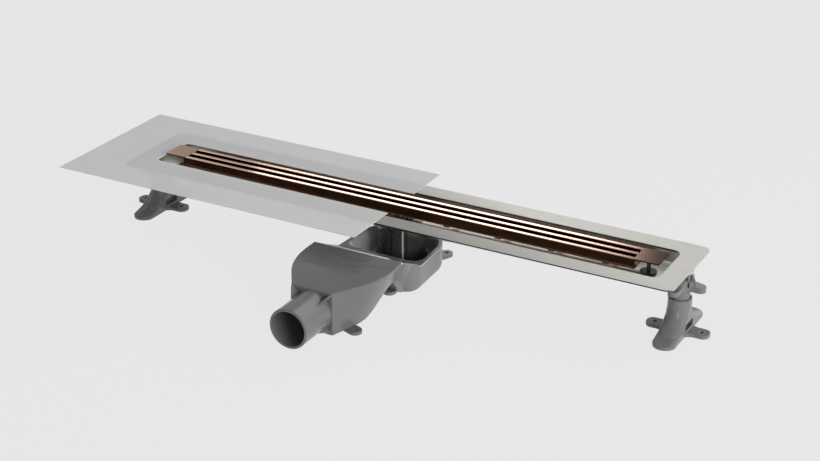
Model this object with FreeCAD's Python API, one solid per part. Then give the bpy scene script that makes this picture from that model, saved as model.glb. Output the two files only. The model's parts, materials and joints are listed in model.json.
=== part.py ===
import FreeCAD, Part
import math
import os

# Linear shower drain. Millimetres, +Z up. X runs along the channel, -Y points to the
# outlet spigot. The origin is on the drain axis, on the floor that the trap and the feet
# stand on.

# Heights above the floor
FLANGE_TOP = 81.2
GRATE_TOP = 86.6

# Channel tray, folded and drawn from sheet
SHEET = 1.5
TROUGH_LENGTH = 708.0
TROUGH_WIDTH = 78.0
FLANGE_END = 28.0
FLANGE_SIDE = 26.0
FLANGE_LENGTH = TROUGH_LENGTH + 2 * FLANGE_END
FLANGE_WIDTH = TROUGH_WIDTH + 2 * FLANGE_SIDE
FLANGE_CORNER = 11.0
TROUGH_CORNER = 9.0
TROUGH_END_DEPTH = 16.0
TROUGH_FALL = 2.0
TROUGH_STRAIGHT = 4.5
TROUGH_LEAN = 3.0
TROUGH_BEND = 4.0
LIP_ROUND = 1.8
OUTLET_BORE = 50.0

# Collar welded under the outlet, and the sleeve that slides on it
COLLAR_OD = 54.0
COLLAR_BOTTOM = 26.0
SLEEVE_OD = 60.0
SLEEVE_WALL = 2.0
SLEEVE_FOOT_OD = 63.0
SLEEVE_BOTTOM = 8.5
SLEEVE_TOP_GAP = 1.6
SLEEVE_RIBS = 6
SLEEVE_RIB = 2.0
SLEEVE_FOOT_TOP = 14.0
SLEEVE_TAPER = 3.0
COLLAR_SEAL_HEIGHT = 2.5
SLIDE_GAP = 0.1

# Strainer over the outlet
STRAINER_OD = 58.0
STRAINER_SHEET = 1.0
STRAINER_SKIRT_DEPTH = 5.0
STRAINER_SLOT = 3.0
STRAINER_PITCH = 6.2
STRAINER_FIELD = 21.0
FIT_GAP = 0.25

# Grate
GRATE_END_GAP = 7.0
GRATE_LENGTH = TROUGH_LENGTH - 2 * GRATE_END_GAP
GRATE_WIDTH = 33.6
PLATE_LENGTH = 31.4
PLATE_THICK = 1.6
SLAT_THICK = 5.4
SLAT_HEIGHT = 13.0
SLAT_ROUND = 0.8
CROSSBAR_COUNT = 9
CROSSBAR_WIDTH = 8.0
CROSSBAR_HEIGHT = 3.0

# Levelling screws under the grate
SCREW_INSET = 18.2
SCREW_D = 5.0
SCREW_GAP = 0.1
SCREW_END_GAP = 0.3
SCREW_DISC_D = 20.4
SCREW_DISC_THICK = 2.2
SCREW_DISC_EDGE = 0.6
BOSS_D = 9.0
BOSS_HEIGHT = 6.4
BOSS_ROOF = 1.0

# Sealing membrane laid on one half of the flange
MEMBRANE_THICK = 1.0
MEMBRANE_PAST_END = 65.0
MEMBRANE_PAST_FRONT = 49.0
MEMBRANE_PAST_BACK = 38.6
MEMBRANE_END = FLANGE_LENGTH / 2.0 + MEMBRANE_PAST_END
MEMBRANE_CUT = 0.5
MEMBRANE_FRONT = FLANGE_WIDTH / 2.0 + MEMBRANE_PAST_FRONT
MEMBRANE_BACK = FLANGE_WIDTH / 2.0 + MEMBRANE_PAST_BACK
MEMBRANE_OVERHANG_END = 3.6
MEMBRANE_OVERHANG_SIDE = 5.6
MEMBRANE_SLOT_CORNER = 6.0

# Trap housing. The bowl stands round the sleeve, the hull is the outlet chamber and its
# neck, and the arch under the neck forms the weir between them.
TRAP_WALL = 2.8
BOWL_HALF_FRONT = 59.5
BOWL_HALF_BACK = 53.5
BOWL_FRONT = 77.0
BOWL_BACK = 42.0
BOWL_CORNER_FRONT = 20.0
BOWL_CORNER_BACK = 50.0
BOWL_FLOOR_ROUND = 9.0
BOWL_FLOOR_BEVEL = 2.5
RIDGE_Y = 108.0
RIDGE_Z = 60.0
RIM_Y = 56.0
RIM_Z = 34.0
FRONT_Y = 212.0
FRONT_Z = 56.6
ROOF_EDGE = 1.2
HULL_STATIONS = (FRONT_Y, 190.0, 168.0, 140.0, RIDGE_Y, 70.0)
HULL_TOP_HALF = (27.5, 42.0, 55.0, 62.0, 61.5, 59.0)
HULL_LOW_HALF = (27.0, 34.0, 39.0, 39.5, 38.0, 46.0)
HULL_FLOOR_Z = 3.0
ARCH_Y = 114.0
ARCH_APEX_Z = 39.0
ARCH_ROUND = 15.0
ARCH_FOOT_ROUND = 36.0
DECK_THICK = 2.6
DECK_LEDGE = 4.0
DECK_GAP = 0.3
DECK_RIB_Y = (97.5, 103.5)
DECK_RIB_HALF = 40.0
DECK_RIB_WIDTH = 1.6
DECK_RIB_HEIGHT = 1.2
DISH_RIM = 4.8
DISH_WALL = 1.8
DISH_FLOOR_Z = 12.0
DISH_FOOT_HALF = 38.0
DISH_FOOT_FRONT = 45.0
DISH_FOOT_BACK = 36.0
DISH_FOOT_ROUND_FRONT = 14.0
DISH_FOOT_ROUND_BACK = 34.0
SEAL_THICK = 1.0
SEAL_LIP = 0.5
SEAL_LIP_HEIGHT = 2.0
SEAL_SEAT_D = SLEEVE_FOOT_OD + 2 * SEAL_THICK

# Outlet spigot
SPIGOT_OD = 50.0
SPIGOT_WALL = 3.0
SPIGOT_Z = 28.4
SPIGOT_MOUTH = 264.0
SPIGOT_CHAMFER = 1.0
SPIGOT_ROOT_D = 52.0
GUSSET_THICK = 2.6
GUSSET_REACH = 16.0
GUSSET_UPPER = 13.0
GUSSET_LOWER = 7.0

# Floor lugs of the trap
LUG_THICK = 4.0
LUG_D = 16.0
LUG_HOLE = 5.5
LUG_FRONT = (43.5, -188.0)
LUG_FRONT_ROOT = (30.0, -183.0)
LUG_MID = (28.0, -80.0)
LUG_MID_ROOT = (27.0, -64.0)
LUG_BACK = (40.0, 46.0)
LUG_BACK_ROOT = (31.0, 27.0)

# Height-adjustable feet under the flange ends
FOOT_INSET = 12.5
FOOT_X = FLANGE_LENGTH / 2.0 - FOOT_INSET
FOOT_D = 27.2
FOOT_COLUMN_TOP = 44.0
STEM_D = 22.8
STEM_GAP = 0.08
FOOT_MOUTH_D = 24.4
FOOT_MOUTH_DEPTH = 3.0
FOOT_BORE_FLOOR = 18.0
FOOT_REACH = 56.5
FOOT_TOE_Z = 3.7
FOOT_FLARE = ((0.6, 32.0), (4.0, 23.0), (12.0, 15.6), (26.0, 7.8))
FOOT_PLANED = 0.4
TOE_SKIN = 2.6
TOE_HOLLOW = ((13.0, 14.0), (21.0, 11.0), (31.0, 5.6), (42.0, 2.2))
TAB_REACH = 38.8
TAB_HALF = 9.4
TAB_ROOT_HALF = 17.0
TAB_ROOT_ROUND = 12.0
TAB_TIP_ROUND = 8.0
TAB_THICK = 4.2
TAB_HOLE_X = 28.6
TAB_HOLE = 5.5
POCKET_HALF = 12.0
POCKET_TOP = 15.0
POCKET_ROUND = 5.0
POCKET_FLOOR_X = 7.0
TAB_RIB = 1.6
TAB_RIB_RISE = 2.2
BRACKET_BOTTOM = 56.0
BRACKET_REACH = 30.0
BRACKET_HALF = 6.8
BRACKET_TIP_ROUND = 6.0
BRACKET_WEB_ROUND = 9.0
BRACKET_TIP_Z = 61.4
BELL_R = 17.0
BELL_Z = 63.8
HUB_TOP = 69.0
HUB_R = 11.0
TROUGH_CLEARANCE = 0.3
FIN_THICK = 2.4
FIN_TIP = 1.6
FIN_FOOT = 9.0
FIN_TOP = 74.5
LUG_PLATE_WIDTH = 18.0
LUG_PLATE_TIP = 8.0
LUG_PLATE_INSET = 0.6
LUG_PLATE_BOTTOM = 61.0
LUG_PLATE_GAP = 0.15

# Reach of bodies that only cut or bound others, past all of the trap and the tray's width
BEYOND = 100.0

V = FreeCAD.Vector


def arc_points(before, corner, after, radius):
    """Start, middle and end of the arc that rounds one corner of an outline."""
    to_before = (before - corner).normalize()
    to_after = (after - corner).normalize()
    half = to_before.getAngle(to_after) / 2.0
    reach = radius / math.tan(half)
    centre_way = (to_before + to_after).normalize()
    centre = corner + centre_way * (radius / math.sin(half))
    return corner + to_before * reach, centre - centre_way * radius, corner + to_after * reach


def rounded_wire(corners):
    """Closed wire through (point, radius) corners with tangent arcs."""
    spans = []
    for i, (corner, radius) in enumerate(corners):
        before = corners[i - 1][0]
        after = corners[(i + 1) % len(corners)][0]
        if radius > 0:
            spans.append(arc_points(before, corner, after, radius))
        else:
            spans.append((corner, None, corner))
    edges = []
    for i, (start, middle, end) in enumerate(spans):
        if middle is not None:
            edges.append(Part.Arc(start, middle, end).toShape())
        following = spans[(i + 1) % len(spans)][0]
        if end.distanceToPoint(following) > 1e-6:
            edges.append(Part.makeLine(end, following))
    return Part.Wire(edges)


def rounded_rect(x0, x1, y0, y1, radius, z):
    """Horizontal rounded rectangle as a wire."""
    corners = [V(x0, y0, z), V(x1, y0, z), V(x1, y1, z), V(x0, y1, z)]
    return rounded_wire([(corner, radius) for corner in corners])


def prism(wire, direction):
    """Solid swept straight from a closed flat wire."""
    return Part.Face(wire).extrude(direction)


def slab(x0, x1, y0, y1, z0, z1):
    """Box between two corners."""
    return Part.makeBox(x1 - x0, y1 - y0, z1 - z0, V(x0, y0, z0))


def rod(diameter, x, y, z0, z1):
    """Upright cylinder."""
    return Part.makeCylinder(diameter / 2.0, z1 - z0, V(x, y, z0))


def ring(outer, inner, x, y, z0, z1):
    """Upright tube."""
    return rod(outer, x, y, z0, z1).cut(rod(inner, x, y, z0 - 1, z1 + 1))


def loft(wires, ruled=False):
    """Solid through a row of wires."""
    return Part.makeLoft(wires, True, ruled)


def turned(points):
    """Ring turned round the drain axis from a half profile."""
    return Part.Face(Part.makePolygon(points + points[:1])).revolve(V(0, 0, 0), V(0, 0, 1), 360)


def mirror_x(shape):
    """The same shape on the other side of the drain axis."""
    return shape.mirror(V(0, 0, 0), V(1, 0, 0))


def edges_where(shape, test):
    """Edges whose middle point passes a test."""
    return [edge for edge in shape.Edges if test(edge.CenterOfMass, edge)]


def export(name, *solids):
    """Write one node."""
    shape = solids[0] if len(solids) == 1 else Part.makeCompound(list(solids))
    shape.exportStep("parts/" + name + ".step")


# Channel tray
TROUGH_FLOOR_END = FLANGE_TOP - TROUGH_END_DEPTH
TROUGH_FLOOR_MID = TROUGH_FLOOR_END - TROUGH_FALL


def trough_section(grow):
    """Cross-section of the trough over the outlet, grown by the sheet outside."""
    half_top = TROUGH_WIDTH / 2.0 + grow
    half_floor = half_top - TROUGH_LEAN
    top = FLANGE_TOP + TROUGH_FALL + 1.0
    kink = FLANGE_TOP - TROUGH_STRAIGHT
    floor = TROUGH_FLOOR_MID - grow
    bend = TROUGH_BEND + grow
    return rounded_wire([
        (V(0, -half_top, top), 0),
        (V(0, -half_top, kink), 0),
        (V(0, -half_floor, floor), bend),
        (V(0, half_floor, floor), bend),
        (V(0, half_top, kink), 0),
        (V(0, half_top, top), 0),
    ])


def trough_body(grow):
    """Trough whose floor falls to the outlet from both ends."""
    half = TROUGH_LENGTH / 2.0 + grow
    side = TROUGH_WIDTH / 2.0 + grow
    section = trough_section(grow)
    section.translate(V(-5, 0, 0))
    right = prism(section, V(half + 15, 0, 0))
    fall = math.degrees(math.atan(2 * TROUGH_FALL / TROUGH_LENGTH))
    right.rotate(V(0, 0, TROUGH_FLOOR_MID), V(0, 1, 0), -fall)
    right = right.common(slab(0, half + BEYOND, -BEYOND, BEYOND, 0, 2 * BEYOND))
    top = FLANGE_TOP if grow else FLANGE_TOP + 1.0
    plan = prism(rounded_rect(-half, half, -side, side, TROUGH_CORNER + grow, 0), V(0, 0, top))
    both = right.fuse(mirror_x(right)).removeSplitter()
    return both.common(plan)


def channel_tray():
    """Flange and trough drawn from one sheet, with the outlet hole in the floor."""
    plan = rounded_rect(-FLANGE_LENGTH / 2, FLANGE_LENGTH / 2, -FLANGE_WIDTH / 2, FLANGE_WIDTH / 2,
                        FLANGE_CORNER, FLANGE_TOP - SHEET)
    tray = prism(plan, V(0, 0, SHEET)).fuse(trough_body(SHEET)).cut(trough_body(0.0))
    tray = tray.removeSplitter()
    lip = edges_where(tray, lambda c, e: abs(e.BoundBox.ZMax - FLANGE_TOP) < 1e-4
                      and abs(e.BoundBox.ZMin - FLANGE_TOP) < 1e-4
                      and abs(c.y) < TROUGH_WIDTH / 2 + 1 and abs(c.x) < TROUGH_LENGTH / 2 + 1)
    tray = tray.makeFillet(LIP_ROUND, lip)
    return tray.cut(rod(OUTLET_BORE, 0, 0, TROUGH_FLOOR_MID - 10, FLANGE_TOP))


def outlet_collar():
    """Round socket welded under the outlet hole."""
    top = TROUGH_FLOOR_MID - SHEET
    return ring(COLLAR_OD, OUTLET_BORE, 0, 0, COLLAR_BOTTOM, top)


def hair_strainer():
    """Slotted disc with a short skirt that hangs in the outlet."""
    base = TROUGH_FLOOR_MID + 0.2
    disc = rod(STRAINER_OD, 0, 0, base, base + STRAINER_SHEET)
    outer = OUTLET_BORE - 2 * FIT_GAP
    skirt = ring(outer, outer - 2 * STRAINER_SHEET, 0, 0, base - STRAINER_SKIRT_DEPTH, base)
    plate = disc.fuse(skirt)
    count = int(2 * STRAINER_FIELD // STRAINER_PITCH)
    first = -STRAINER_PITCH * (count - 1) / 2.0
    for i in range(count):
        x = first + i * STRAINER_PITCH
        reach = math.sqrt(STRAINER_FIELD ** 2 - x ** 2)
        plate = plate.cut(slab(x - STRAINER_SLOT / 2, x + STRAINER_SLOT / 2, -reach, reach,
                               base - 1, base + STRAINER_SHEET + 1))
    return plate.removeSplitter()


SLEEVE_TOP = TROUGH_FLOOR_MID - SHEET - SLEEVE_TOP_GAP


def telescopic_sleeve():
    """Clear sleeve round the collar, with upright ribs inside and a narrower foot."""
    outer = SLEEVE_OD / 2.0
    inner = outer - SLEEVE_WALL
    foot = SLEEVE_FOOT_OD / 2.0
    high = SLEEVE_FOOT_TOP + SLEEVE_TAPER
    tube = turned([V(inner, 0, SLEEVE_BOTTOM), V(foot, 0, SLEEVE_BOTTOM), V(foot, 0, SLEEVE_FOOT_TOP),
                   V(outer, 0, high), V(outer, 0, SLEEVE_TOP), V(inner, 0, SLEEVE_TOP)])
    rib_in = COLLAR_OD / 2.0 + FIT_GAP
    rib_top = SLEEVE_TOP - COLLAR_SEAL_HEIGHT - 1.0
    for i in range(SLEEVE_RIBS):
        rib = slab(rib_in, inner + SLEEVE_WALL / 2, -SLEEVE_RIB / 2, SLEEVE_RIB / 2, high + 1, rib_top)
        rib.rotate(V(0, 0, 0), V(0, 0, 1), 30 + 360.0 * i / SLEEVE_RIBS)
        tube = tube.fuse(rib)
    return tube.removeSplitter()


def collar_seal():
    """Ring seal held in the top of the sleeve, sliding on the collar."""
    inner = COLLAR_OD + 2 * SLIDE_GAP
    outer = SLEEVE_OD - 2 * SLEEVE_WALL
    return ring(outer, inner, 0, 0, SLEEVE_TOP - COLLAR_SEAL_HEIGHT, SLEEVE_TOP)


def sleeve_seal():
    """Lip seal round the foot of the sleeve, seated in the floor of the dish."""
    seat = DISH_FLOOR_Z - DISH_WALL
    bore = SLEEVE_FOOT_OD / 2.0
    return turned([V(bore, 0, seat), V(SEAL_SEAT_D / 2, 0, seat), V(SEAL_SEAT_D / 2, 0, DISH_FLOOR_Z),
                   V(SEAL_SEAT_D / 2 + SEAL_LIP, 0, DISH_FLOOR_Z), V(bore, 0, DISH_FLOOR_Z + SEAL_LIP_HEIGHT)])


# Trap
DECK_SLOPE = (RIDGE_Z - RIM_Z) / (RIDGE_Y - RIM_Y)


def top_line(drop):
    """Points of the housing's top in side view, front to back, lowered by drop."""
    return [V(0, -FRONT_Y - 10, FRONT_Z - drop), V(0, -FRONT_Y, FRONT_Z - drop),
            V(0, -RIDGE_Y, RIDGE_Z - drop), V(0, -RIM_Y, RIM_Z - drop),
            V(0, BOWL_BACK + 10, RIM_Z - drop)]


def across(points):
    """Prism over the whole width of the trap from an outline in side view."""
    outline = [point - V(BEYOND, 0, 0) for point in points]
    return prism(Part.makePolygon(outline + outline[:1]), V(2 * BEYOND, 0, 0))


def between(near, far):
    """Everything between two distances in front of the drain axis."""
    return slab(-BEYOND, BEYOND, -near, -far, 0, BEYOND)


def under_top(drop):
    """Everything that lies under the lowered top line."""
    points = top_line(drop)
    return across([V(0, points[0].y, -5)] + points + [V(0, points[-1].y, -5)])


def bowl_half(y):
    """Half width of the bowl, which narrows to the back, at a distance in front of the drain."""
    share = (y + BOWL_BACK) / (BOWL_FRONT + BOWL_BACK)
    return BOWL_HALF_BACK + (BOWL_HALF_FRONT - BOWL_HALF_BACK) * share


def bowl_plan(inset, front, z):
    """Plan of the bowl: rounded front corners and a broad round back."""
    wide = bowl_half(front) - inset
    narrow = BOWL_HALF_BACK - inset
    near = -front + inset
    far = BOWL_BACK - inset
    return rounded_wire([
        (V(-wide, near, z), BOWL_CORNER_FRONT - inset),
        (V(wide, near, z), BOWL_CORNER_FRONT - inset),
        (V(narrow, far, z), BOWL_CORNER_BACK - inset),
        (V(-narrow, far, z), BOWL_CORNER_BACK - inset),
    ])


def bowl_block(inset):
    """Upright block with the bowl's plan, and the edges of its floor."""
    block = prism(bowl_plan(inset, BOWL_FRONT, inset), V(0, 0, RIDGE_Z + 10))
    return block, edges_where(block, lambda c, e: abs(e.BoundBox.ZMax - inset) < 1e-4)


def bowl_outside():
    """Outside of the inlet bowl, with a rounded floor edge."""
    block, low = bowl_block(0.0)
    return block.makeFillet(BOWL_FLOOR_ROUND, low)


def bowl_inside():
    """Water space of the inlet bowl."""
    block, low = bowl_block(TRAP_WALL)
    return block.makeChamfer(BOWL_FLOOR_BEVEL, low)


def hull_wire(z, half_widths, inset):
    """Plan of the hull at one height: half widths at the stations, flat ends."""
    right = [V(half - inset, -y, z) for half, y in zip(half_widths, HULL_STATIONS)]
    left = [V(-point.x, point.y, z) for point in reversed(right)]
    if inset:
        return Part.makePolygon(right + left + right[:1])
    starboard = Part.BSplineCurve()
    starboard.interpolate(right)
    port = Part.BSplineCurve()
    port.interpolate(left)
    return Part.Wire([starboard.toShape(), Part.makeLine(right[-1], left[0]), port.toShape(),
                      Part.makeLine(left[-1], right[0])])


def hull_body(inset):
    """Outlet chamber and neck, curved outside and straight between the stations inside."""
    hull = loft([hull_wire(HULL_FLOOR_Z + inset, HULL_LOW_HALF, inset),
                 hull_wire(RIDGE_Z + 0.5, HULL_TOP_HALF, inset)], True)
    return hull.cut(arch_body(inset)).common(between(FRONT_Y - inset, 0))


def arch_body(grow):
    """Arch under the neck, open to both sides; its crown forms the weir."""
    rise = ARCH_APEX_Z + 1.0 + grow * math.sqrt(2)
    low = HULL_FLOOR_Z - 0.5 + grow
    outline = rounded_wire([
        (V(-BEYOND, -ARCH_Y - rise - ARCH_FOOT_ROUND, -1), 0),
        (V(-BEYOND, -ARCH_Y - rise - ARCH_FOOT_ROUND, low), 0),
        (V(-BEYOND, -ARCH_Y - rise + low + 1, low), ARCH_FOOT_ROUND - grow),
        (V(-BEYOND, -ARCH_Y, rise - 1), ARCH_ROUND + grow),
        (V(-BEYOND, -ARCH_Y + rise, -1), 0),
    ])
    return prism(outline, V(2 * BEYOND, 0, 0))


def roof_and_ledge():
    """Region that stays closed over the chamber, with the ledge that carries the deck."""
    wall = TRAP_WALL
    ledge_y = -RIDGE_Y + DECK_LEDGE
    ledge_z = RIDGE_Z - DECK_THICK - wall - DECK_SLOPE * DECK_LEDGE
    return across([V(0, -FRONT_Y - 10, FRONT_Z - wall), V(0, -FRONT_Y, FRONT_Z - wall),
                   V(0, -RIDGE_Y, RIDGE_Z - wall), V(0, -RIDGE_Y, RIDGE_Z - DECK_THICK - wall),
                   V(0, ledge_y, ledge_z), V(0, ledge_y, BEYOND), V(0, -FRONT_Y - 10, BEYOND)])


def lug(place, root):
    """Floor lug with a web back to the housing."""
    here = V(place[0], place[1], 0)
    there = V(root[0], root[1], 0)
    way = there - here
    side = V(-way.y, way.x, 0).normalize() * (LUG_D / 2.0)
    web = Part.makePolygon([here + side, there + side, there - side, here - side, here + side])
    return rod(LUG_D, here.x, here.y, 0, LUG_THICK).fuse(prism(web, V(0, 0, LUG_THICK)))


def lugs_and_holes():
    """All floor lugs of the trap and the screw holes through them."""
    places = [(LUG_FRONT, LUG_FRONT_ROOT), (LUG_MID, LUG_MID_ROOT), (LUG_BACK, LUG_BACK_ROOT)]
    pads = [lug(place, root) for place, root in places]
    holes = [rod(LUG_HOLE, x, y, -1, LUG_THICK + 1) for x, y in (LUG_FRONT, LUG_BACK)]
    return pads + [mirror_x(pad) for pad in pads], holes + [mirror_x(hole) for hole in holes]


def spigot_tube():
    """Outside of the spigot, with a slightly conical root between the gussets."""
    root_y = -FRONT_Y - GUSSET_REACH
    tube = Part.makeCylinder(SPIGOT_OD / 2, SPIGOT_MOUTH + root_y, V(0, -SPIGOT_MOUTH, SPIGOT_Z), V(0, 1, 0))
    mouth = edges_where(tube, lambda c, e: abs(c.y + SPIGOT_MOUTH) < 1e-4 and e.Closed)
    root = Part.makeCone(SPIGOT_OD / 2, SPIGOT_ROOT_D / 2, GUSSET_REACH, V(0, root_y, SPIGOT_Z), V(0, 1, 0))
    heel = Part.makeCylinder(SPIGOT_ROOT_D / 2, TRAP_WALL, V(0, -FRONT_Y, SPIGOT_Z), V(0, 1, 0))
    return tube.makeChamfer(SPIGOT_CHAMFER, mouth).fuse([root, heel])


def spigot_bore():
    """Inside of the spigot."""
    return Part.makeCylinder(SPIGOT_OD / 2 - SPIGOT_WALL, SPIGOT_MOUTH - FRONT_Y + 3 * TRAP_WALL,
                             V(0, -SPIGOT_MOUTH - 1, SPIGOT_Z), V(0, 1, 0))


def spigot_gusset(angle, height):
    """Triangular web between the front wall and the spigot."""
    r = SPIGOT_OD / 2.0 - 0.5
    wall = -FRONT_Y + 1
    outline = [V(r, wall, -GUSSET_THICK / 2), V(r + height, wall, -GUSSET_THICK / 2),
               V(r + height, wall - 2, -GUSSET_THICK / 2), V(r, -FRONT_Y - GUSSET_REACH, -GUSSET_THICK / 2)]
    web = prism(Part.makePolygon(outline + outline[:1]), V(0, 0, GUSSET_THICK))
    web.rotate(V(0, 0, 0), V(0, 1, 0), angle)
    web.translate(V(0, 0, SPIGOT_Z))
    return web


def trap_housing():
    """Moulded trap: inlet bowl, weir, outlet chamber and spigot in one piece."""
    hull = hull_body(0.0)
    chamber = hull.common(under_top(0.0)).common(between(FRONT_Y + 1, RIDGE_Y))
    roof = edges_where(chamber, lambda c, e: e.BoundBox.ZMin > FRONT_Z - 1 and c.y < -RIDGE_Y - 1)
    chamber = chamber.makeChamfer(ROOF_EDGE, roof)
    neck = hull.common(between(RIDGE_Y, 0))
    rear = neck.fuse(bowl_outside()).common(under_top(DECK_THICK))
    housing = chamber.fuse(rear).fuse(spigot_tube())
    for angle, height in ((-45, GUSSET_UPPER), (225, GUSSET_UPPER), (45, GUSSET_LOWER), (135, GUSSET_LOWER)):
        housing = housing.fuse(spigot_gusset(angle, height))
    pads, holes = lugs_and_holes()
    housing = housing.fuse(pads)
    hollow = hull_body(TRAP_WALL).cut(roof_and_ledge())
    housing = housing.cut([hollow, bowl_inside(), spigot_bore()] + holes)
    return housing.removeSplitter()


def dish_foot(grow, z):
    """Plan of the dish at its floor, which lies close round the sleeve."""
    half = DISH_FOOT_HALF + grow
    return rounded_wire([
        (V(-half, -DISH_FOOT_FRONT - grow, z), DISH_FOOT_ROUND_FRONT + grow),
        (V(half, -DISH_FOOT_FRONT - grow, z), DISH_FOOT_ROUND_FRONT + grow),
        (V(half, DISH_FOOT_BACK + grow, z), DISH_FOOT_ROUND_BACK + grow),
        (V(-half, DISH_FOOT_BACK + grow, z), DISH_FOOT_ROUND_BACK + grow),
    ])


def dish_body(grow, top):
    """Funnel from the rim down to the floor round the sleeve, or its outside."""
    rim = bowl_plan(DISH_RIM - grow, RIM_Y, top)
    return loft([dish_foot(grow, DISH_FLOOR_Z - grow), rim], True)


def trap_deck():
    """Cover of the bowl: slope down from the ridge, flat rim and dished recess."""
    outline = hull_body(0.0).fuse(bowl_outside())
    plate = outline.common(under_top(0.0)).cut(under_top(DECK_THICK))
    plate = plate.common(between(RIDGE_Y - DECK_GAP, -BEYOND))
    deck = plate.fuse(dish_body(DISH_WALL, RIM_Z - DISH_WALL))
    for y in DECK_RIB_Y:
        z = RIDGE_Z - DECK_SLOPE * (RIDGE_Y - y)
        rib = slab(-DECK_RIB_HALF, DECK_RIB_HALF, -y - DECK_RIB_WIDTH / 2, -y + DECK_RIB_WIDTH / 2,
                   z - 1.5, z + DECK_RIB_HEIGHT)
        deck = deck.fuse(rib)
    mouth = prism(bowl_plan(DISH_RIM, RIM_Y, RIM_Z), V(0, 0, RIDGE_Z))
    hollow = dish_body(0.0, RIM_Z).fuse(mouth)
    return deck.cut([hollow, rod(SEAL_SEAT_D, 0, 0, 0, RIM_Z)]).removeSplitter()


# Grate
SLAT_LENGTH = GRATE_LENGTH - 2 * PLATE_LENGTH
SLAT_PITCH = (GRATE_WIDTH - SLAT_THICK) / 2.0


def grate_slat(y):
    """One long bar of the grate with softened upper edges."""
    bar = slab(-SLAT_LENGTH / 2, SLAT_LENGTH / 2, y - SLAT_THICK / 2, y + SLAT_THICK / 2,
               GRATE_TOP - SLAT_HEIGHT, GRATE_TOP)
    top = edges_where(bar, lambda c, e: abs(c.z - GRATE_TOP) < 1e-4 and e.Length > SLAT_THICK + 1)
    return bar.makeFillet(SLAT_ROUND, top)


def grate_end_plate(side):
    """Flat end plate with a lip turned down over the slat ends."""
    inner = side * SLAT_LENGTH / 2
    outer = side * GRATE_LENGTH / 2
    x0, x1 = sorted((inner, outer))
    plate = slab(x0, x1, -GRATE_WIDTH / 2, GRATE_WIDTH / 2, GRATE_TOP - PLATE_THICK, GRATE_TOP)
    lip_end = inner + side * PLATE_THICK
    x0, x1 = sorted((inner, lip_end))
    lip = slab(x0, x1, -GRATE_WIDTH / 2, GRATE_WIDTH / 2, GRATE_TOP - SLAT_HEIGHT, GRATE_TOP - PLATE_THICK)
    return plate.fuse(lip).removeSplitter()


def grate_crossbars():
    """Short ties under the slats."""
    top = GRATE_TOP - SLAT_HEIGHT
    pitch = SLAT_LENGTH / CROSSBAR_COUNT
    bars = []
    for i in range(CROSSBAR_COUNT):
        x = (i - (CROSSBAR_COUNT - 1) / 2.0) * pitch
        bars.append(slab(x - CROSSBAR_WIDTH / 2, x + CROSSBAR_WIDTH / 2, -GRATE_WIDTH / 2 + SLAT_THICK / 2,
                         GRATE_WIDTH / 2 - SLAT_THICK / 2, top - CROSSBAR_HEIGHT, top))
    return bars


SCREW_X = GRATE_LENGTH / 2 - SCREW_INSET


def trough_floor_at(x):
    """Height of the trough floor at one place along it."""
    return TROUGH_FLOOR_MID + TROUGH_FALL * abs(x) / (TROUGH_LENGTH / 2.0)


def levelling_boss(side):
    """Blind threaded hexagon boss welded under an end plate."""
    x = side * SCREW_X
    top = GRATE_TOP - PLATE_THICK
    across_corners = BOSS_D / math.sqrt(3)
    corners = [FreeCAD.Rotation(V(0, 0, 1), 60 * i).multVec(V(across_corners, 0, 0)) for i in range(7)]
    body = prism(Part.makePolygon(corners), V(0, 0, BOSS_HEIGHT))
    body.translate(V(x, 0, top - BOSS_HEIGHT))
    return body.cut(rod(SCREW_D + 2 * SCREW_GAP, x, 0, top - BOSS_HEIGHT - 1, top - BOSS_ROOF))


def levelling_screw(side):
    """Threaded stem with a round foot that stands on the trough floor."""
    x = side * SCREW_X
    base = trough_floor_at(SCREW_X + SCREW_DISC_D / 2)
    disc = rod(SCREW_DISC_D, x, 0, base, base + SCREW_DISC_THICK)
    rim = edges_where(disc, lambda c, e: abs(e.BoundBox.ZMin - disc.BoundBox.ZMax) < 1e-4)
    disc = disc.makeChamfer(SCREW_DISC_EDGE, rim)
    top = GRATE_TOP - PLATE_THICK - BOSS_ROOF - SCREW_END_GAP
    return disc.fuse(rod(SCREW_D, x, 0, base + SCREW_DISC_THICK / 2, top)).removeSplitter()


# Membrane
def sealing_membrane():
    """Flexible sheet bonded to the left half of the flange, open round the trough."""
    half = TROUGH_WIDTH / 2.0 - MEMBRANE_OVERHANG_SIDE
    slot_end = TROUGH_LENGTH / 2.0 - MEMBRANE_OVERHANG_END
    z = FLANGE_TOP
    wire = rounded_wire([
        (V(-MEMBRANE_CUT, -MEMBRANE_FRONT, z), 0),
        (V(-MEMBRANE_CUT, -half, z), 0),
        (V(-slot_end, -half, z), MEMBRANE_SLOT_CORNER),
        (V(-slot_end, half, z), MEMBRANE_SLOT_CORNER),
        (V(-MEMBRANE_CUT, half, z), 0),
        (V(-MEMBRANE_CUT, MEMBRANE_BACK, z), 0),
        (V(-MEMBRANE_END, MEMBRANE_BACK, z), 0),
        (V(-MEMBRANE_END, -MEMBRANE_FRONT, z), 0),
    ])
    return prism(wire, V(0, 0, MEMBRANE_THICK))


# Feet, drawn for the right end with the foot's axis at x = 0
LUG_PLATE_X = FLANGE_LENGTH / 2 - LUG_PLATE_INSET - FOOT_X


def foot_plan(r, reach, z):
    """Plan of the foot at one height: as wide as the column, with round ends."""
    return rounded_rect(-r, r, -r - reach, r + reach, r - 0.01, z)


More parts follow.
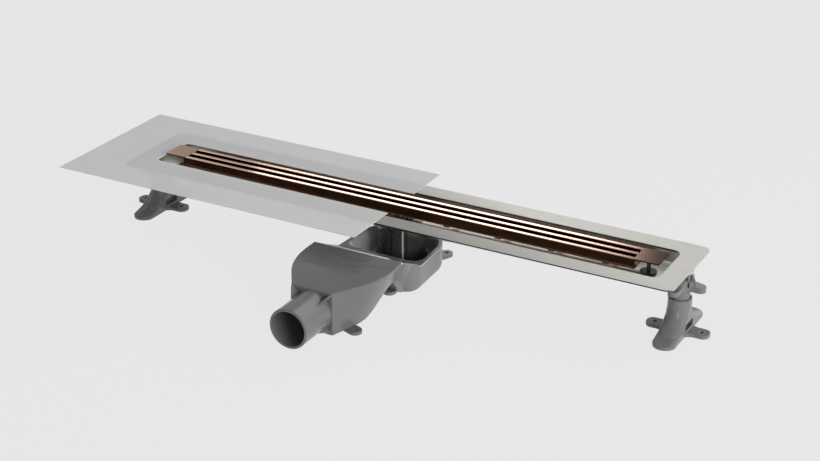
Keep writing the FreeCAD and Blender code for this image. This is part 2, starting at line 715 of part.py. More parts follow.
def foot_shell():
    """Column that flares into a rounded toe to the front and to the back."""
    r = FOOT_D / 2.0
    wide = r + FOOT_PLANED
    toe = FOOT_REACH - wide
    levels = ((0.05, FOOT_COLUMN_TOP),) + FOOT_FLARE + ((toe, FOOT_TOE_Z),)
    shell = loft([foot_plan(wide, reach, z) for reach, z in levels], True)
    shell = shell.fuse(prism(foot_plan(wide, toe, 0), V(0, 0, FOOT_TOE_Z)))
    shell = shell.common(slab(-r, r, -FOOT_REACH, FOOT_REACH, 0, FOOT_COLUMN_TOP))
    return shell.fuse(rod(FOOT_D, 0, 0, 0, FOOT_COLUMN_TOP))


def toe_hollow():
    """Space under the front toe, open to the floor, with walls all round."""
    r = FOOT_D / 2.0 - TOE_SKIN
    side = [V(-r, -y, z) for y, z in TOE_HOLLOW]
    outline = [V(-r, side[0].y, -1)] + side + [V(-r, side[-1].y, -1)]
    plan = prism(foot_plan(r, FOOT_REACH - FOOT_D / 2, -1), V(0, 0, FOOT_COLUMN_TOP))
    return prism(Part.makePolygon(outline + outline[:1]), V(2 * r, 0, 0)).common(plan)


def foot_tab():
    """Screw tab with a waisted outline and a low rib along the column."""
    near = FOOT_D / 2.0 - 2
    plan = rounded_wire([
        (V(near, -TAB_ROOT_HALF, 0), 0),
        (V(near + 5, -TAB_HALF, 0), TAB_ROOT_ROUND),
        (V(TAB_REACH, -TAB_HALF, 0), TAB_TIP_ROUND),
        (V(TAB_REACH, TAB_HALF, 0), TAB_TIP_ROUND),
        (V(near + 5, TAB_HALF, 0), TAB_ROOT_ROUND),
        (V(near, TAB_ROOT_HALF, 0), 0),
    ])
    rib_x = FOOT_D / 2.0 + 0.6
    rib = slab(rib_x - TAB_RIB, rib_x, -TAB_HALF - 3, TAB_HALF + 3, 0, TAB_THICK + TAB_RIB_RISE)
    tab = prism(plan, V(0, 0, TAB_THICK)).fuse(rib)
    return tab.fuse(slab(0, near + 0.1, -TAB_ROOT_HALF, TAB_ROOT_HALF, 0, TAB_THICK))


def foot_base():
    """Moulded base: column, two flared toes and two screw tabs."""
    hollow = toe_hollow()
    base = foot_shell().cut([hollow, hollow.mirror(V(0, 0, 0), V(0, 1, 0))])
    pocket = slab(-FOOT_D, FOOT_D, -POCKET_HALF, POCKET_HALF, TAB_THICK, POCKET_TOP)
    pocket = pocket.makeFillet(POCKET_ROUND, edges_where(pocket, lambda c, e: abs(c.z - POCKET_TOP) < 1e-4
                                                         and abs(abs(c.y) - POCKET_HALF) < 1e-4))
    base = base.cut(pocket.cut(slab(-POCKET_FLOOR_X, POCKET_FLOOR_X, -FOOT_D, FOOT_D, 0, FOOT_COLUMN_TOP)))
    tab = foot_tab()
    base = base.fuse([tab, mirror_x(tab)])
    holes = [rod(TAB_HOLE, x, 0, -1, TAB_THICK + 1) for x in (-TAB_HOLE_X, TAB_HOLE_X)]
    bore = rod(STEM_D + 2 * STEM_GAP, 0, 0, FOOT_BORE_FLOOR, FOOT_COLUMN_TOP + 1)
    mouth = rod(FOOT_MOUTH_D, 0, 0, FOOT_COLUMN_TOP - FOOT_MOUTH_DEPTH, FOOT_COLUMN_TOP + 1)
    return base.cut([bore, mouth] + holes).removeSplitter()


def star_wire(z):
    """Plan of the bracket: four rounded arms with hollow webs between them."""
    corners = []
    for turn in range(4):
        for x, y, r in ((BRACKET_REACH, -BRACKET_HALF, BRACKET_TIP_ROUND),
                        (BRACKET_REACH, BRACKET_HALF, BRACKET_TIP_ROUND),
                        (BRACKET_HALF, BRACKET_HALF, BRACKET_WEB_ROUND)):
            point = FreeCAD.Rotation(V(0, 0, 1), 90 * turn).multVec(V(x, y, z))
            corners.append((point, r))
    return rounded_wire(corners)


def lug_slot(gap):
    """Space of the steel lug in the bracket, grown by a gap."""
    x = LUG_PLATE_X
    return slab(x - SHEET - gap, x + gap, -LUG_PLATE_WIDTH / 2, LUG_PLATE_WIDTH / 2, LUG_PLATE_BOTTOM, 90)


def foot_bracket():
    """Stem that slides in the column, under a four-armed head with a fin behind the lug."""
    stem = rod(STEM_D, 0, 0, FOOT_BORE_FLOOR, BRACKET_BOTTOM + 1)
    arms = prism(star_wire(BRACKET_BOTTOM), V(0, 0, HUB_TOP - BRACKET_BOTTOM + 1))
    far = BRACKET_REACH + 3
    bell = turned([V(0, 0, BRACKET_BOTTOM), V(far, 0, BRACKET_BOTTOM), V(far, 0, BRACKET_TIP_Z),
                   V(BELL_R, 0, BELL_Z), V(HUB_R, 0, HUB_TOP), V(0, 0, HUB_TOP)])
    trough_end = TROUGH_LENGTH / 2 + SHEET - FOOT_X + TROUGH_CLEARANCE
    notch = slab(-far, trough_end, -far, far, TROUGH_FLOOR_END - SHEET - TROUGH_CLEARANCE, HUB_TOP + 1)
    head = arms.common(bell).cut(notch)
    fin_x = LUG_PLATE_X + LUG_PLATE_GAP
    side = [V(fin_x, 0, BRACKET_BOTTOM + 2), V(fin_x + FIN_FOOT, 0, BRACKET_BOTTOM + 2),
            V(fin_x + FIN_TIP, 0, FIN_TOP), V(fin_x, 0, FIN_TOP)]
    fin = prism(Part.makePolygon(side + side[:1]), V(0, FIN_THICK, 0))
    fin.translate(V(0, -FIN_THICK / 2, 0))
    return stem.fuse(head).fuse(fin).cut(lug_slot(LUG_PLATE_GAP)).removeSplitter()


def place_foot(shape, side):
    """Put a foot piece under one end of the flange."""
    placed = shape.copy()
    if side < 0:
        placed = mirror_x(placed)
    placed.translate(V(side * FOOT_X, 0, 0))
    return placed


def mounting_lug():
    """Steel lug bent down from the flange end, tapering to its tip."""
    x = LUG_PLATE_X
    top = FLANGE_TOP - SHEET
    wide = LUG_PLATE_WIDTH / 2
    tip = LUG_PLATE_TIP / 2
    outline = [V(x, -wide, top), V(x, wide, top), V(x, tip, LUG_PLATE_BOTTOM), V(x, -tip, LUG_PLATE_BOTTOM)]
    return prism(Part.makePolygon(outline + outline[:1]), V(-SHEET, 0, 0))


def main():
    """Build every node and write it."""
    os.makedirs("parts", exist_ok=True)
    export("channel_tray", channel_tray())
    export("outlet_collar", outlet_collar())
    export("hair_strainer", hair_strainer())
    export("telescopic_sleeve", telescopic_sleeve())
    export("collar_seal", collar_seal())
    export("sleeve_seal", sleeve_seal())
    export("trap_housing", trap_housing())
    export("trap_deck", trap_deck())
    export("sealing_membrane", sealing_membrane())
    for name, y in (("front", -SLAT_PITCH), ("middle", 0.0), ("rear", SLAT_PITCH)):
        export("grate_slat_" + name, grate_slat(y))
    export("grate_crossbars", *grate_crossbars())
    for name, side in (("left", -1), ("right", 1)):
        export("grate_end_plate_" + name, grate_end_plate(side))
        export("levelling_boss_" + name, levelling_boss(side))
        export("levelling_screw_" + name, levelling_screw(side))
        export("foot_base_" + name, place_foot(foot_base(), side))
        export("foot_bracket_" + name, place_foot(foot_bracket(), side))
        export("mounting_lug_" + name, place_foot(mounting_lug(), side))


main()
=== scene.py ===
import json
import math

import bmesh
import bpy
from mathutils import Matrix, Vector


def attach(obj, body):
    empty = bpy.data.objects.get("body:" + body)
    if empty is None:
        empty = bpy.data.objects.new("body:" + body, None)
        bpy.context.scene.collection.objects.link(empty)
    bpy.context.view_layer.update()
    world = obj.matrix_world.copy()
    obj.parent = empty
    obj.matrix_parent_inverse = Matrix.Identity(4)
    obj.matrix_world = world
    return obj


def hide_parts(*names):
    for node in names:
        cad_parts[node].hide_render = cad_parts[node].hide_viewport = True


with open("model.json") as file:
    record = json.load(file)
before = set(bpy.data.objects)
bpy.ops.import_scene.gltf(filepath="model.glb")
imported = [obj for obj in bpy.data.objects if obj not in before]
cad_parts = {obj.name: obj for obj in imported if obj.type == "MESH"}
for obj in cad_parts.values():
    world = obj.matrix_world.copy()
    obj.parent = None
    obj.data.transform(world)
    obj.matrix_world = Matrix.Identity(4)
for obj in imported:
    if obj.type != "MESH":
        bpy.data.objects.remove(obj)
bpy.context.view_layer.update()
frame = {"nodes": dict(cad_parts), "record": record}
nodes = frame["nodes"]

# Linear shower drain. Metres, +Z up, X along the channel, the floor at z = 0.

# Camera, solved from the photograph: place, angles in degrees, lens and sensor in millimetres
CAMERA_AT = (0.94773, -1.69050, 0.94549)
CAMERA_AZIMUTH = 28.96
CAMERA_ELEVATION = 24.93
CAMERA_REACH = 100.0
LENS = 74.96
SENSOR = 36.0

# Floor: grey, roughness, how little of the shadow shows on it, half width, and drop below z = 0
FLOOR_GREY = (0.799, 0.799, 0.799)
FLOOR_ROUGH = 0.9
FLOOR_FLATNESS = 0.96
FLOOR_HALF = 12.0
FLOOR_DROP = 0.0003

# Room seen in reflections: azimuth in degrees from +Y towards -X, and its grey there
ROOM = (
    (-180.0, 0.40), (-120.0, 0.15), (-95.0, 0.80), (-70.0, 0.25), (-45.0, 1.00), (-10.0, 1.80),
    (10.0, 1.60), (16.0, 0.06), (20.5, 0.03), (23.0, 1.40), (27.0, 0.10), (33.0, 0.10),
    (38.0, 0.70), (70.0, 0.20), (100.0, 0.90), (130.0, 0.25), (180.0, 0.40),
)

# Membrane: outline of the sheet and of its slot round the trough, and its rounded edge
SHEET_LEFT = -0.447
SHEET_RIGHT = -0.0005
SHEET_FRONT = -0.114
SHEET_BACK = 0.1036
SHEET_BOTTOM = 0.0812
SHEET_THICK = 0.001
SHEET_EDGE = 0.0003
SLOT_END = -0.3504
SLOT_HALF = 0.0334
SLOT_CORNER = 0.006
SLOT_STEPS = 6

# Trap roof: heights at its front edge and at the ridge
ROOF_FRONT_Y = -0.212
ROOF_FRONT_Z = 0.0566
RIDGE_Y = -0.108
RIDGE_Z = 0.060

# Ribs on the trap roof, painted dark as shade: radius, how deep their axis lies in the roof, and
# their routes
RIB_RADIUS = 0.0006
RIB_SINK = 0.0004
RIB_ROUTES = {
    "roof_rib_long": ((-0.053, -0.131), (-0.037, -0.134), (-0.018, -0.146), (0.003, -0.148),
                      (0.020, -0.140), (0.032, -0.130), (0.046, -0.130)),
    "roof_rib_short": ((-0.034, -0.117), (-0.020, -0.125), (-0.004, -0.132), (0.013, -0.129),
                       (0.028, -0.114)),
}

# Noise values taken as its lowest and highest, in wide patches and in fine grain
PATCHES = (0.1, 0.9)
GRAIN = (0.3, 0.7)

# How far a normal points up or down: below the first the face is a side, above the second it is level
SIDE_TO_LEVEL = (0.2, 0.75)

# Brushed metal: scale of its patches, and of its streaks the scale, detail, stretch along X, relief
# and shares of the roughness
METAL_PATCH_SCALE = 14.0
STREAK_SCALE = 900.0
STREAK_DETAIL = 4.0
STREAK_STRETCH = (0.02, 1.0, 1.0)
STREAK_RELIEF = 0.000003
STREAK_WEAR = (0.8, 1.25)

# Steel of the channel: heights between trough and flange, roughness of each, normals of the front
# edges painted dark as shade, direction and reach of the flange's painted reflection, share of the
# patches
FLANGE_HEIGHTS = (0.0791, 0.0795)
TRAY_ROUGH = (0.3, 0.42)
FRONT_NORMALS = (-0.85, -0.45)
FLANGE_REFLECTION_DIRECTION = (1.0, 2.2, 0.0)
FLANGE_REFLECTION_REACH = (-0.065, 0.255)
PATCH_SHARE = (0.0, 0.12)
# Flange colours at the dim and bright ends of its painted reflection
FLANGE_REFLECTION_DIM = (0.34, 0.333, 0.31)
FLANGE_REFLECTION_BRIGHT = (0.74, 0.73, 0.68)
TROUGH_STEEL = (0.72, 0.71, 0.66)
PATCH_STEEL = (0.9, 0.89, 0.84)
# Near-black painted shade on the flange's front-facing edges
FRONT_EDGE_SHADE = (0.02, 0.02, 0.02)

# Moulded plastic: scale of its patches, scale, detail and relief of its orange peel, shares of the
# roughness, and radius of its soft edges
PLASTIC_PATCH_SCALE = 25.0
PEEL_SCALE = 700.0
PEEL_DETAIL = 2.0
PEEL_RELIEF = 0.000006
PLASTIC_WEAR = (0.85, 1.15)
PLASTIC_EDGE = 0.0015

# Places where painted light changes the grey of the trap's plastic: lighter between ridge and bowl,
# lighter inside the deck's dish, and a painted highlight strip on the deck's ribs at the ridge
# Painted light: the housing gets lighter from the ridge towards the bowl
BOWL_LIGHT_PLACES = (-0.125, -0.05)
# Painted light: the deck is lighter inside its dish, under the tray
DISH_LIGHT_HEIGHTS = (0.0325, 0.034)
# Painted highlight: a near-white strip on the deck's ribs at the ridge
RIDGE_HIGHLIGHT_HEIGHTS = (0.0568, 0.0572)

# Sleeve: scale of its patches, relief, soft edges, gloss, roughness, its two greys, and opacity
# between faces that look at the viewer and faces that turn away
SLEEVE_PATCH_SCALE = 30.0
SLEEVE_RELIEF = 0.00002
SLEEVE_EDGE = 0.0008
SLEEVE_GLOSS = 0.7
SLEEVE_ROUGH = (0.06, 0.12)
SLEEVE_DARK = (0.042, 0.042, 0.043)
SLEEVE_LIGHT = (0.052, 0.052, 0.053)
SLEEVE_TURN = (0.35, 0.8)
SLEEVE_OPACITY = (0.5, 0.97)

# Direction across the sleeve, and its two dark seams and one painted highlight line by their middle,
# half width and colour
SEAM_AND_HIGHLIGHT_DIRECTION = (0.875, 0.484, 0.0)
SEAMS_AND_HIGHLIGHT = (
    (-0.0124, 0.0006, (0.004, 0.004, 0.004)),
    (0.0062, 0.0006, (0.004, 0.004, 0.004)),
    # Painted highlight: a light upright line on the dark sleeve
    (0.0017, 0.0010, (0.6, 0.6, 0.59)),
)

# Fleece of the membrane: scale of its patches, scale, detail, relief and roughness of its felt, its
# two greys, and its opacity
FLEECE_PATCH_SCALE = 12.0
FELT_SCALE = 2500.0
FELT_DETAIL = 5.0
FELT_RELIEF = 0.00002
FELT_ROUGH = (0.75, 0.95)
FLEECE_DARK = (0.585, 0.585, 0.585)
FLEECE_LIGHT = (0.62, 0.62, 0.62)
FLEECE_OPACITY = 0.8

# Lamps: name, place, point they face, width and height, power in watts, and whether gloss shows them
LAMPS = (
    ("key_right", (2.1, -0.85, 0.7), (0.1, -0.1, 0.05), (1.7, 1.1), 62.0, False),
    ("front_fill", (1.0, -1.9, 0.5), (0.0, 0.0, 0.03), (0.35, 0.8), 4.0, True),
    ("overhead", (-1.5, 0.0, 1.4), (-0.45, 0.0, 0.05), (1.1, 1.1), 3.7, True),
    ("grate_band", (-1.0, 2.03, 1.1), (0.0, 0.0, 0.086), (1.04, 0.16), 1.5, True),
)


def node_tree(name):
    """New material with an empty node tree and a Principled shader."""
    material = bpy.data.materials.new(name)
    material.use_nodes = True
    tree = material.node_tree
    tree.nodes.clear()
    output = tree.nodes.new("ShaderNodeOutputMaterial")
    shader = tree.nodes.new("ShaderNodeBsdfPrincipled")
    tree.links.new(shader.outputs[0], output.inputs["Surface"])
    return material, tree, shader


def feed(tree, value, socket):
    """Gives a socket a number, a colour or what another socket gives out."""
    if isinstance(value, bpy.types.NodeSocket):
        tree.links.new(value, socket)
    elif isinstance(value, tuple):
        socket.default_value = (*value, 1.0)
    else:
        socket.default_value = value


def calculate(tree, operation, *values):
    """Result of a Math node over numbers or sockets."""
    node = tree.nodes.new("ShaderNodeMath")
    node.operation = operation
    for value, socket in zip(values, node.inputs):
        feed(tree, value, socket)
    return node.outputs[0]


def object_place(tree):
    """Place on the surface in the object's own frame."""
    return tree.nodes.new("ShaderNodeTexCoord").outputs["Object"]


def face_normal(tree):
    """Direction in which the face looks."""
    return tree.nodes.new("ShaderNodeNewGeometry").outputs["True Normal"]


def split(tree, vector):
    """X, Y and Z of a vector, by their names."""
    node = tree.nodes.new("ShaderNodeSeparateXYZ")
    tree.links.new(vector, node.inputs[0])
    return node.outputs


def project(tree, direction):
    """Place on the surface, measured along a direction."""
    node = tree.nodes.new("ShaderNodeVectorMath")
    node.operation = "DOT_PRODUCT"
    node.inputs[1].default_value = direction
    tree.links.new(object_place(tree), node.inputs[0])
    return node.outputs["Value"]


def noise(tree, scale, detail=3.0, stretch=(1.0, 1.0, 1.0)):
    """Noise in object space, in waves per metre, stretched along an axis."""
    mapping = tree.nodes.new("ShaderNodeMapping")
    mapping.inputs["Scale"].default_value = stretch
    tree.links.new(object_place(tree), mapping.inputs["Vector"])
    texture = tree.nodes.new("ShaderNodeTexNoise")
    texture.inputs["Scale"].default_value = scale
    texture.inputs["Detail"].default_value = detail
    tree.links.new(mapping.outputs[0], texture.inputs["Vector"])
    return texture.outputs["Fac"]


def remap(tree, source, old, new=(0.0, 1.0)):
    """Maps a value from one range onto another, held at its ends."""
    ramp = tree.nodes.new("ShaderNodeMapRange")
    ramp.inputs["From Min"].default_value = old[0]
    ramp.inputs["From Max"].default_value = old[1]
    ramp.inputs["To Min"].default_value = new[0]
    ramp.inputs["To Max"].default_value = new[1]
    tree.links.new(source, ramp.inputs["Value"])
    return ramp.outputs[0]


def along(tree, axis, ends):
    """0 to 1 between two places on an axis of the object."""
    return remap(tree, split(tree, object_place(tree))[axis], ends)


def tint(tree, share, first, second):
    """Mixes two colours, plain or from a socket, by a value from 0 to 1."""
    mix = tree.nodes.new("ShaderNodeMix")
    mix.data_type = "RGBA"
    feed(tree, first, mix.inputs[6])
    feed(tree, second, mix.inputs[7])
    tree.links.new(share, mix.inputs[0])
    return mix.outputs[2]


def relief(tree, source, height, shader, soften=0.0):
    """Bump of a height in metres, over edges softened by a radius."""
    node = tree.nodes.new("ShaderNodeBump")
    node.inputs["Strength"].default_value = 1.0
    node.inputs["Distance"].default_value = height
    tree.links.new(source, node.inputs["Height"])
    if soften:
        bevel = tree.nodes.new("ShaderNodeBevel")
        bevel.samples = 6
        bevel.inputs["Radius"].default_value = soften
        tree.links.new(bevel.outputs[0], node.inputs["Normal"])
    tree.links.new(node.outputs[0], shader.inputs["Normal"])


def steepness(tree):
    """0 on level faces, 1 on upright ones."""
    level = calculate(tree, "ABSOLUTE", split(tree, face_normal(tree))["Z"])
    return remap(tree, level, SIDE_TO_LEVEL, (1.0, 0.0))


def brushed(name):
    """New metal with its patches and its streaks, which also give it relief."""
    material, tree, shader = node_tree(name)
    streaks = noise(tree, STREAK_SCALE, STREAK_DETAIL, STREAK_STRETCH)
    patches = noise(tree, METAL_PATCH_SCALE)
    shader.inputs["Metallic"].default_value = 1.0
    relief(tree, streaks, STREAK_RELIEF, shader)
    return material, tree, shader, streaks, patches


def tray_steel(name):
    """Steel of the channel: satin flange with a painted reflection that lightens it to its right and
    rear, front edges painted near-black as shade, and a glossier trough."""
    material, tree, shader, streaks, patches = brushed(name)
    flange = along(tree, "Z", FLANGE_HEIGHTS)
    front = remap(tree, split(tree, face_normal(tree))["Y"], FRONT_NORMALS, (1.0, 0.0))
    # Painted reflection: the flange gets lighter towards its right and rear
    painted_reflection = remap(tree, project(tree, FLANGE_REFLECTION_DIRECTION), FLANGE_REFLECTION_REACH)
    colour = tint(tree, painted_reflection, FLANGE_REFLECTION_DIM, FLANGE_REFLECTION_BRIGHT)
    colour = tint(tree, flange, TROUGH_STEEL, colour)
    colour = tint(tree, remap(tree, patches, PATCHES, PATCH_SHARE), colour, PATCH_STEEL)
    # Painted shade: front-facing faces of the flange turn near-black
    colour = tint(tree, calculate(tree, "MULTIPLY", flange, front), colour, FRONT_EDGE_SHADE)
    tree.links.new(colour, shader.inputs["Base Color"])
    worn = remap(tree, streaks, GRAIN, STREAK_WEAR)
    rough = remap(tree, flange, (0.0, 1.0), TRAY_ROUGH)
    tree.links.new(calculate(tree, "MULTIPLY", worn, rough), shader.inputs["Roughness"])
    return material


def metal(name, first, second, rough, side=None):
    """Brushed metal between two colours, with a darker colour painted on its sides as shade if given.
    """
    material, tree, shader, streaks, patches = brushed(name)
    colour = tint(tree, remap(tree, patches, PATCHES), first, second)
    # Painted shade: upright faces take the darker side colour
    if side:
        colour = tint(tree, steepness(tree), colour, side)
    tree.links.new(colour, shader.inputs["Base Color"])
    worn = [rough * share for share in STREAK_WEAR]
    tree.links.new(remap(tree, streaks, GRAIN, worn), shader.inputs["Roughness"])
    return material


def moulded(name, first, second, rough, soften=PLASTIC_EDGE, fades=()):
    """Injection-moulded plastic between two colours, with a faint orange peel and soft edges.
    Each fade leads to a further colour between two places on an axis."""
    material, tree, shader = node_tree(name)
    patches = noise(tree, PLASTIC_PATCH_SCALE)
    peel = noise(tree, PEEL_SCALE, PEEL_DETAIL)
    colour = tint(tree, remap(tree, patches, PATCHES), first, second)
    for axis, ends, last in fades:
        colour = tint(tree, along(tree, axis, ends), colour, last)
    tree.links.new(colour, shader.inputs["Base Color"])
    worn = [rough * share for share in PLASTIC_WEAR]
    tree.links.new(remap(tree, patches, PATCHES, worn), shader.inputs["Roughness"])
    relief(tree, peel, PEEL_RELIEF, shader, soften)
    return material


def smoked(name):
    """Smoked clear plastic of the sleeve, denser where it turns away, with two dark seams and a
    painted highlight line.
    """
    material, tree, shader = node_tree(name)
    patches = noise(tree, SLEEVE_PATCH_SCALE)
    weight = tree.nodes.new("ShaderNodeLayerWeight")
    opacity = remap(tree, weight.outputs["Facing"], SLEEVE_TURN, SLEEVE_OPACITY)
    tree.links.new(opacity, shader.inputs["Alpha"])
    shader.inputs["Specular IOR Level"].default_value = SLEEVE_GLOSS
    across = project(tree, SEAM_AND_HIGHLIGHT_DIRECTION)
    colour = tint(tree, remap(tree, patches, PATCHES), SLEEVE_DARK, SLEEVE_LIGHT)
    # Two dark seams and one painted highlight line across the sleeve
    for middle, half, line_colour in SEAMS_AND_HIGHLIGHT:
        colour = tint(tree, calculate(tree, "COMPARE", across, middle, half), colour, line_colour)
    tree.links.new(colour, shader.inputs["Base Color"])
    tree.links.new(remap(tree, patches, GRAIN, SLEEVE_ROUGH), shader.inputs["Roughness"])
    relief(tree, patches, SLEEVE_RELIEF, shader, SLEEVE_EDGE)
    return material


def fleece(name):
    """Translucent sealing sheet with a fine felted face."""
    material, tree, shader = node_tree(name)
    felt = noise(tree, FELT_SCALE, FELT_DETAIL)
    patches = noise(tree, FLEECE_PATCH_SCALE)
    shader.inputs["Alpha"].default_value = FLEECE_OPACITY
    colour = tint(tree, remap(tree, patches, PATCHES), FLEECE_DARK, FLEECE_LIGHT)
    tree.links.new(colour, shader.inputs["Base Color"])
    tree.links.new(remap(tree, felt, GRAIN, FELT_ROUGH), shader.inputs["Roughness"])
    relief(tree, felt, FELT_RELIEF, shader)
    return material


STEEL = tray_steel("tray_steel")
STRAINER = metal("strainer_steel", (0.5, 0.45, 0.42), (0.6, 0.55, 0.52), 0.25)
# Slats and end plates: their last colour is painted shade on their upright sides
SLATS = metal("grate_slats", (0.84, 0.53, 0.41), (0.88, 0.58, 0.46), 0.08, (0.17, 0.09, 0.06))
# End plates: a darker copy of the slats' copper, painted shade
PLATES_SHADED = metal("grate_plates_shaded", (0.44, 0.28, 0.20), (0.48, 0.31, 0.23), 0.12, (0.10, 0.05, 0.035))
# Trap grey, lighter towards the bowl by painted light
GREY = moulded("trap_grey", (0.098, 0.098, 0.096), (0.111, 0.111, 0.109), 0.2,
               fades=[("Y", BOWL_LIGHT_PLACES, (0.155, 0.155, 0.152))])
FOOT_GREY = moulded("foot_grey", (0.112, 0.112, 0.110), (0.124, 0.124, 0.122), 0.27)
# Deck grey: a lighter copy of the trap grey as painted light, lightest inside the dish
DECK_PAINTED_LIGHT = moulded("deck_grey_painted_light", (0.29, 0.29, 0.285), (0.32, 0.32, 0.314), 0.22,
                    fades=[("Z", DISH_LIGHT_HEIGHTS, (0.17, 0.17, 0.167)),
                           ("Z", RIDGE_HIGHLIGHT_HEIGHTS, (0.75, 0.75, 0.73))])
# Dark grey of the roof ribs, painted shade
RIB_SHADE = moulded("roof_rib_painted_shade", (0.045, 0.045, 0.044), (0.055, 0.055, 0.054), 0.3, soften=0.0002)
RUBBER = moulded("seal_rubber", (0.012, 0.012, 0.012), (0.02, 0.02, 0.02), 0.6)
BLACK = moulded("screw_black", (0.012, 0.011, 0.011), (0.02, 0.018, 0.017), 0.3, soften=0.0004)
SMOKED = smoked("sleeve_smoked")
FLEECE = fleece("membrane_fleece")

# Finish of each material slot, and of the nodes that differ from their slot
SLOT_FINISHES = {
    "tray_steel": STEEL,
    "strainer_steel": STRAINER,
    "grate_metal": SLATS,
    "trap_plastic": GREY,
    "foot_plastic": FOOT_GREY,
    "smoked_plastic": SMOKED,
    "seal_rubber": RUBBER,
    "screw_black": BLACK,
    "membrane": FLEECE,
}
NODE_FINISHES = {
    "grate_end_plate_left": PLATES_SHADED,
    "grate_end_plate_right": PLATES_SHADED,
    "trap_deck": DECK_PAINTED_LIGHT,
}


def dress_nodes():
    """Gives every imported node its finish."""
    for entry in frame["record"]["subparts"]:
        node = entry["node"]
        mesh = nodes[node].data
        mesh.materials.clear()
        mesh.materials.append(NODE_FINISHES.get(node, SLOT_FINISHES[entry["material_slot"]]))


def mesh_of(name, shape):
    """Mesh made from a bmesh, which is given up."""
    mesh = bpy.data.meshes.new(name)
    shape.to_mesh(mesh)
    shape.free()
    return mesh


def new_piece(name, data, finish, body):
    """Object from a mesh or a curve, finished and riding on a body."""
    data.materials.append(finish)
    piece = bpy.data.objects.new(name, data)
    bpy.context.scene.collection.objects.link(piece)
    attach(piece, body)
    return piece


def membrane_outline():
    """Corners of the sheet, round its slot, with the slot's corners rounded."""
    corners = [(SHEET_RIGHT, SHEET_FRONT), (SHEET_RIGHT, -SLOT_HALF)]
    for centre_y, start in ((-SLOT_HALF + SLOT_CORNER, -90.0), (SLOT_HALF - SLOT_CORNER, -180.0)):
        for i in range(SLOT_STEPS + 1):
            turn = math.radians(start - 90.0 * i / SLOT_STEPS)
            corners.append((SLOT_END + SLOT_CORNER + SLOT_CORNER * math.cos(turn),
                            centre_y + SLOT_CORNER * math.sin(turn)))
    return corners + [(SHEET_RIGHT, SLOT_HALF), (SHEET_RIGHT, SHEET_BACK),
                      (SHEET_LEFT, SHEET_BACK), (SHEET_LEFT, SHEET_FRONT)]


def membrane():
    """Sealing sheet laid on the left half of the flange."""
    corners = membrane_outline()
    shape = bmesh.new()
    face = shape.faces.new([shape.verts.new((x, y, SHEET_BOTTOM)) for x, y in corners])
    if face.normal.z < 0:
        face.normal_flip()
    raised = bmesh.ops.extrude_face_region(shape, geom=[face])
    bmesh.ops.translate(shape, vec=(0.0, 0.0, SHEET_THICK),
                        verts=[v for v in raised["geom"] if isinstance(v, bmesh.types.BMVert)])
    bmesh.ops.recalc_face_normals(shape, faces=shape.faces)
    sheet = new_piece("sealing_sheet", mesh_of("sealing_sheet", shape), FLEECE, "channel")
    edge = sheet.modifiers.new("soft_edge", "BEVEL")
    edge.width = SHEET_EDGE
    edge.segments = 2
    edge.limit_method = "ANGLE"
    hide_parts("sealing_membrane")


def roof_z(y):
    """Height of the trap's roof."""
    share = (y - ROOF_FRONT_Y) / (RIDGE_Y - ROOF_FRONT_Y)
    return ROOF_FRONT_Z + (RIDGE_Z - ROOF_FRONT_Z) * share


def roof_lines():
    """Two low curved ribs moulded on the roof of the trap, painted dark as shade."""
    for name, points in RIB_ROUTES.items():
        curve = bpy.data.curves.new(name, "CURVE")
        curve.dimensions = "3D"
        curve.bevel_depth = RIB_RADIUS
        curve.bevel_resolution = 4
        curve.use_fill_caps = True
        line = curve.splines.new("NURBS")
        line.points.add(len(points) - 1)
        for point, (x, y) in zip(line.points, points):
            point.co = (x, y, roof_z(y) - RIB_SINK, 1.0)
        line.use_endpoint_u = True
        line.order_u = 4
        line.resolution_u = 12
        new_piece(name, curve, RIB_SHADE, "trap")


def room(tree):
    """World: greys that change with the direction."""
    tree.nodes.clear()
    output = tree.nodes.new("ShaderNodeOutputWorld")
    toward = split(tree, tree.nodes.new("ShaderNodeTexCoord").outputs["Generated"])
    left = calculate(tree, "MULTIPLY", toward["X"], -1.0)
    turn = calculate(tree, "ARCTAN2", left, toward["Y"])
    ramp = tree.nodes.new("ShaderNodeValToRGB")
    stops = ramp.color_ramp.elements
    while len(stops) < len(ROOM):
        stops.new(0.5)
    for stop, (azimuth, grey) in enumerate(ROOM):
        stops[stop].position = (azimuth + 180.0) / 360.0
        stops[stop].color = (grey, grey, grey, 1.0)
    tree.links.new(remap(tree, turn, (-math.pi, math.pi)), ramp.inputs[0])
    walls = tree.nodes.new("ShaderNodeBackground")
    tree.links.new(ramp.outputs[0], walls.inputs["Color"])
    tree.links.new(walls.outputs[0], output.inputs["Surface"])


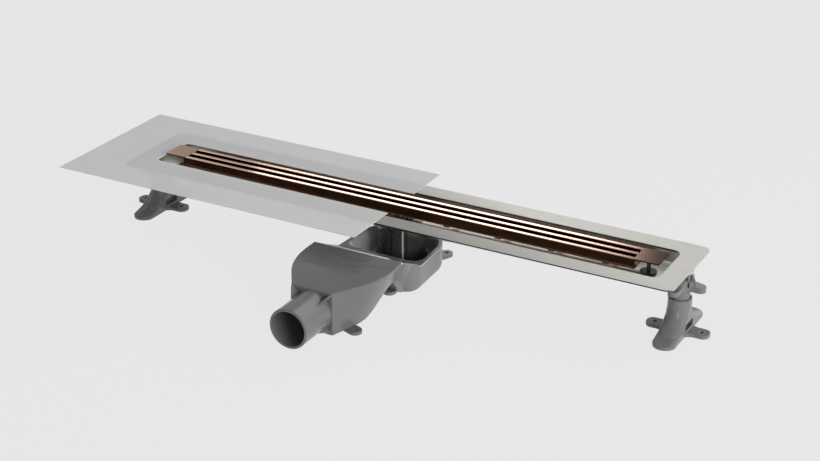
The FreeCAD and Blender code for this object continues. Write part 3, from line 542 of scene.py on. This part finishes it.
def floor_material():
    """Floor seen as flat pale grey with a faint shadow, in mirrors and glass too."""
    material, tree, shader = node_tree("floor_pale")
    surface = shader.outputs[0].links[0].to_socket
    feed(tree, FLOOR_GREY, shader.inputs["Base Color"])
    shader.inputs["Roughness"].default_value = FLOOR_ROUGH
    glow = tree.nodes.new("ShaderNodeEmission")
    feed(tree, FLOOR_GREY, glow.inputs["Color"])
    path = tree.nodes.new("ShaderNodeLightPath")
    seen = path.outputs["Is Camera Ray"]
    for kind in ("Is Glossy Ray", "Is Transmission Ray"):
        seen = calculate(tree, "MAXIMUM", seen, path.outputs[kind])
    mix = tree.nodes.new("ShaderNodeMixShader")
    tree.links.new(calculate(tree, "MULTIPLY", seen, FLOOR_FLATNESS), mix.inputs[0])
    tree.links.new(shader.outputs[0], mix.inputs[1])
    tree.links.new(glow.outputs[0], mix.inputs[2])
    tree.links.new(mix.outputs[0], surface)
    return material


def stage():
    """Pale floor and a graded room round the object."""
    world = bpy.data.worlds.new("surroundings")
    world.use_nodes = True
    bpy.context.scene.world = world
    room(world.node_tree)
    shape = bmesh.new()
    bmesh.ops.create_grid(shape, x_segments=1, y_segments=1, size=FLOOR_HALF)
    mesh = mesh_of("floor", shape)
    mesh.materials.append(floor_material())
    floor = bpy.data.objects.new("floor", mesh)
    floor.location.z = -FLOOR_DROP
    bpy.context.scene.collection.objects.link(floor)


def lamps():
    """Rectangular lamps: a wide one on the right, which isn't mirrored, soft ones in front and
    overhead, and a faint strip mirrored in the grate."""
    for name, place, aim, size, power, mirrored in LAMPS:
        lamp = bpy.data.lights.new(name, "AREA")
        lamp.shape = "RECTANGLE"
        lamp.size, lamp.size_y = size
        lamp.energy = power
        holder = bpy.data.objects.new(name, lamp)
        holder.location = place
        holder.rotation_euler = (Vector(aim) - Vector(place)).to_track_quat("-Z", "Y").to_euler()
        holder.visible_glossy = mirrored
        bpy.context.scene.collection.objects.link(holder)


def camera():
    """Camera at the photograph's viewpoint."""
    data = bpy.data.cameras.new("camera")
    data.lens = LENS
    data.sensor_width = SENSOR
    data.clip_end = CAMERA_REACH
    holder = bpy.data.objects.new("camera", data)
    holder.location = CAMERA_AT
    holder.rotation_euler = (math.radians(90.0 - CAMERA_ELEVATION), 0.0, math.radians(CAMERA_AZIMUTH))
    bpy.context.scene.collection.objects.link(holder)
    bpy.context.scene.camera = holder


dress_nodes()
membrane()
roof_lines()
stage()
lamps()
camera()
bpy.context.scene.view_settings.view_transform = "Standard"
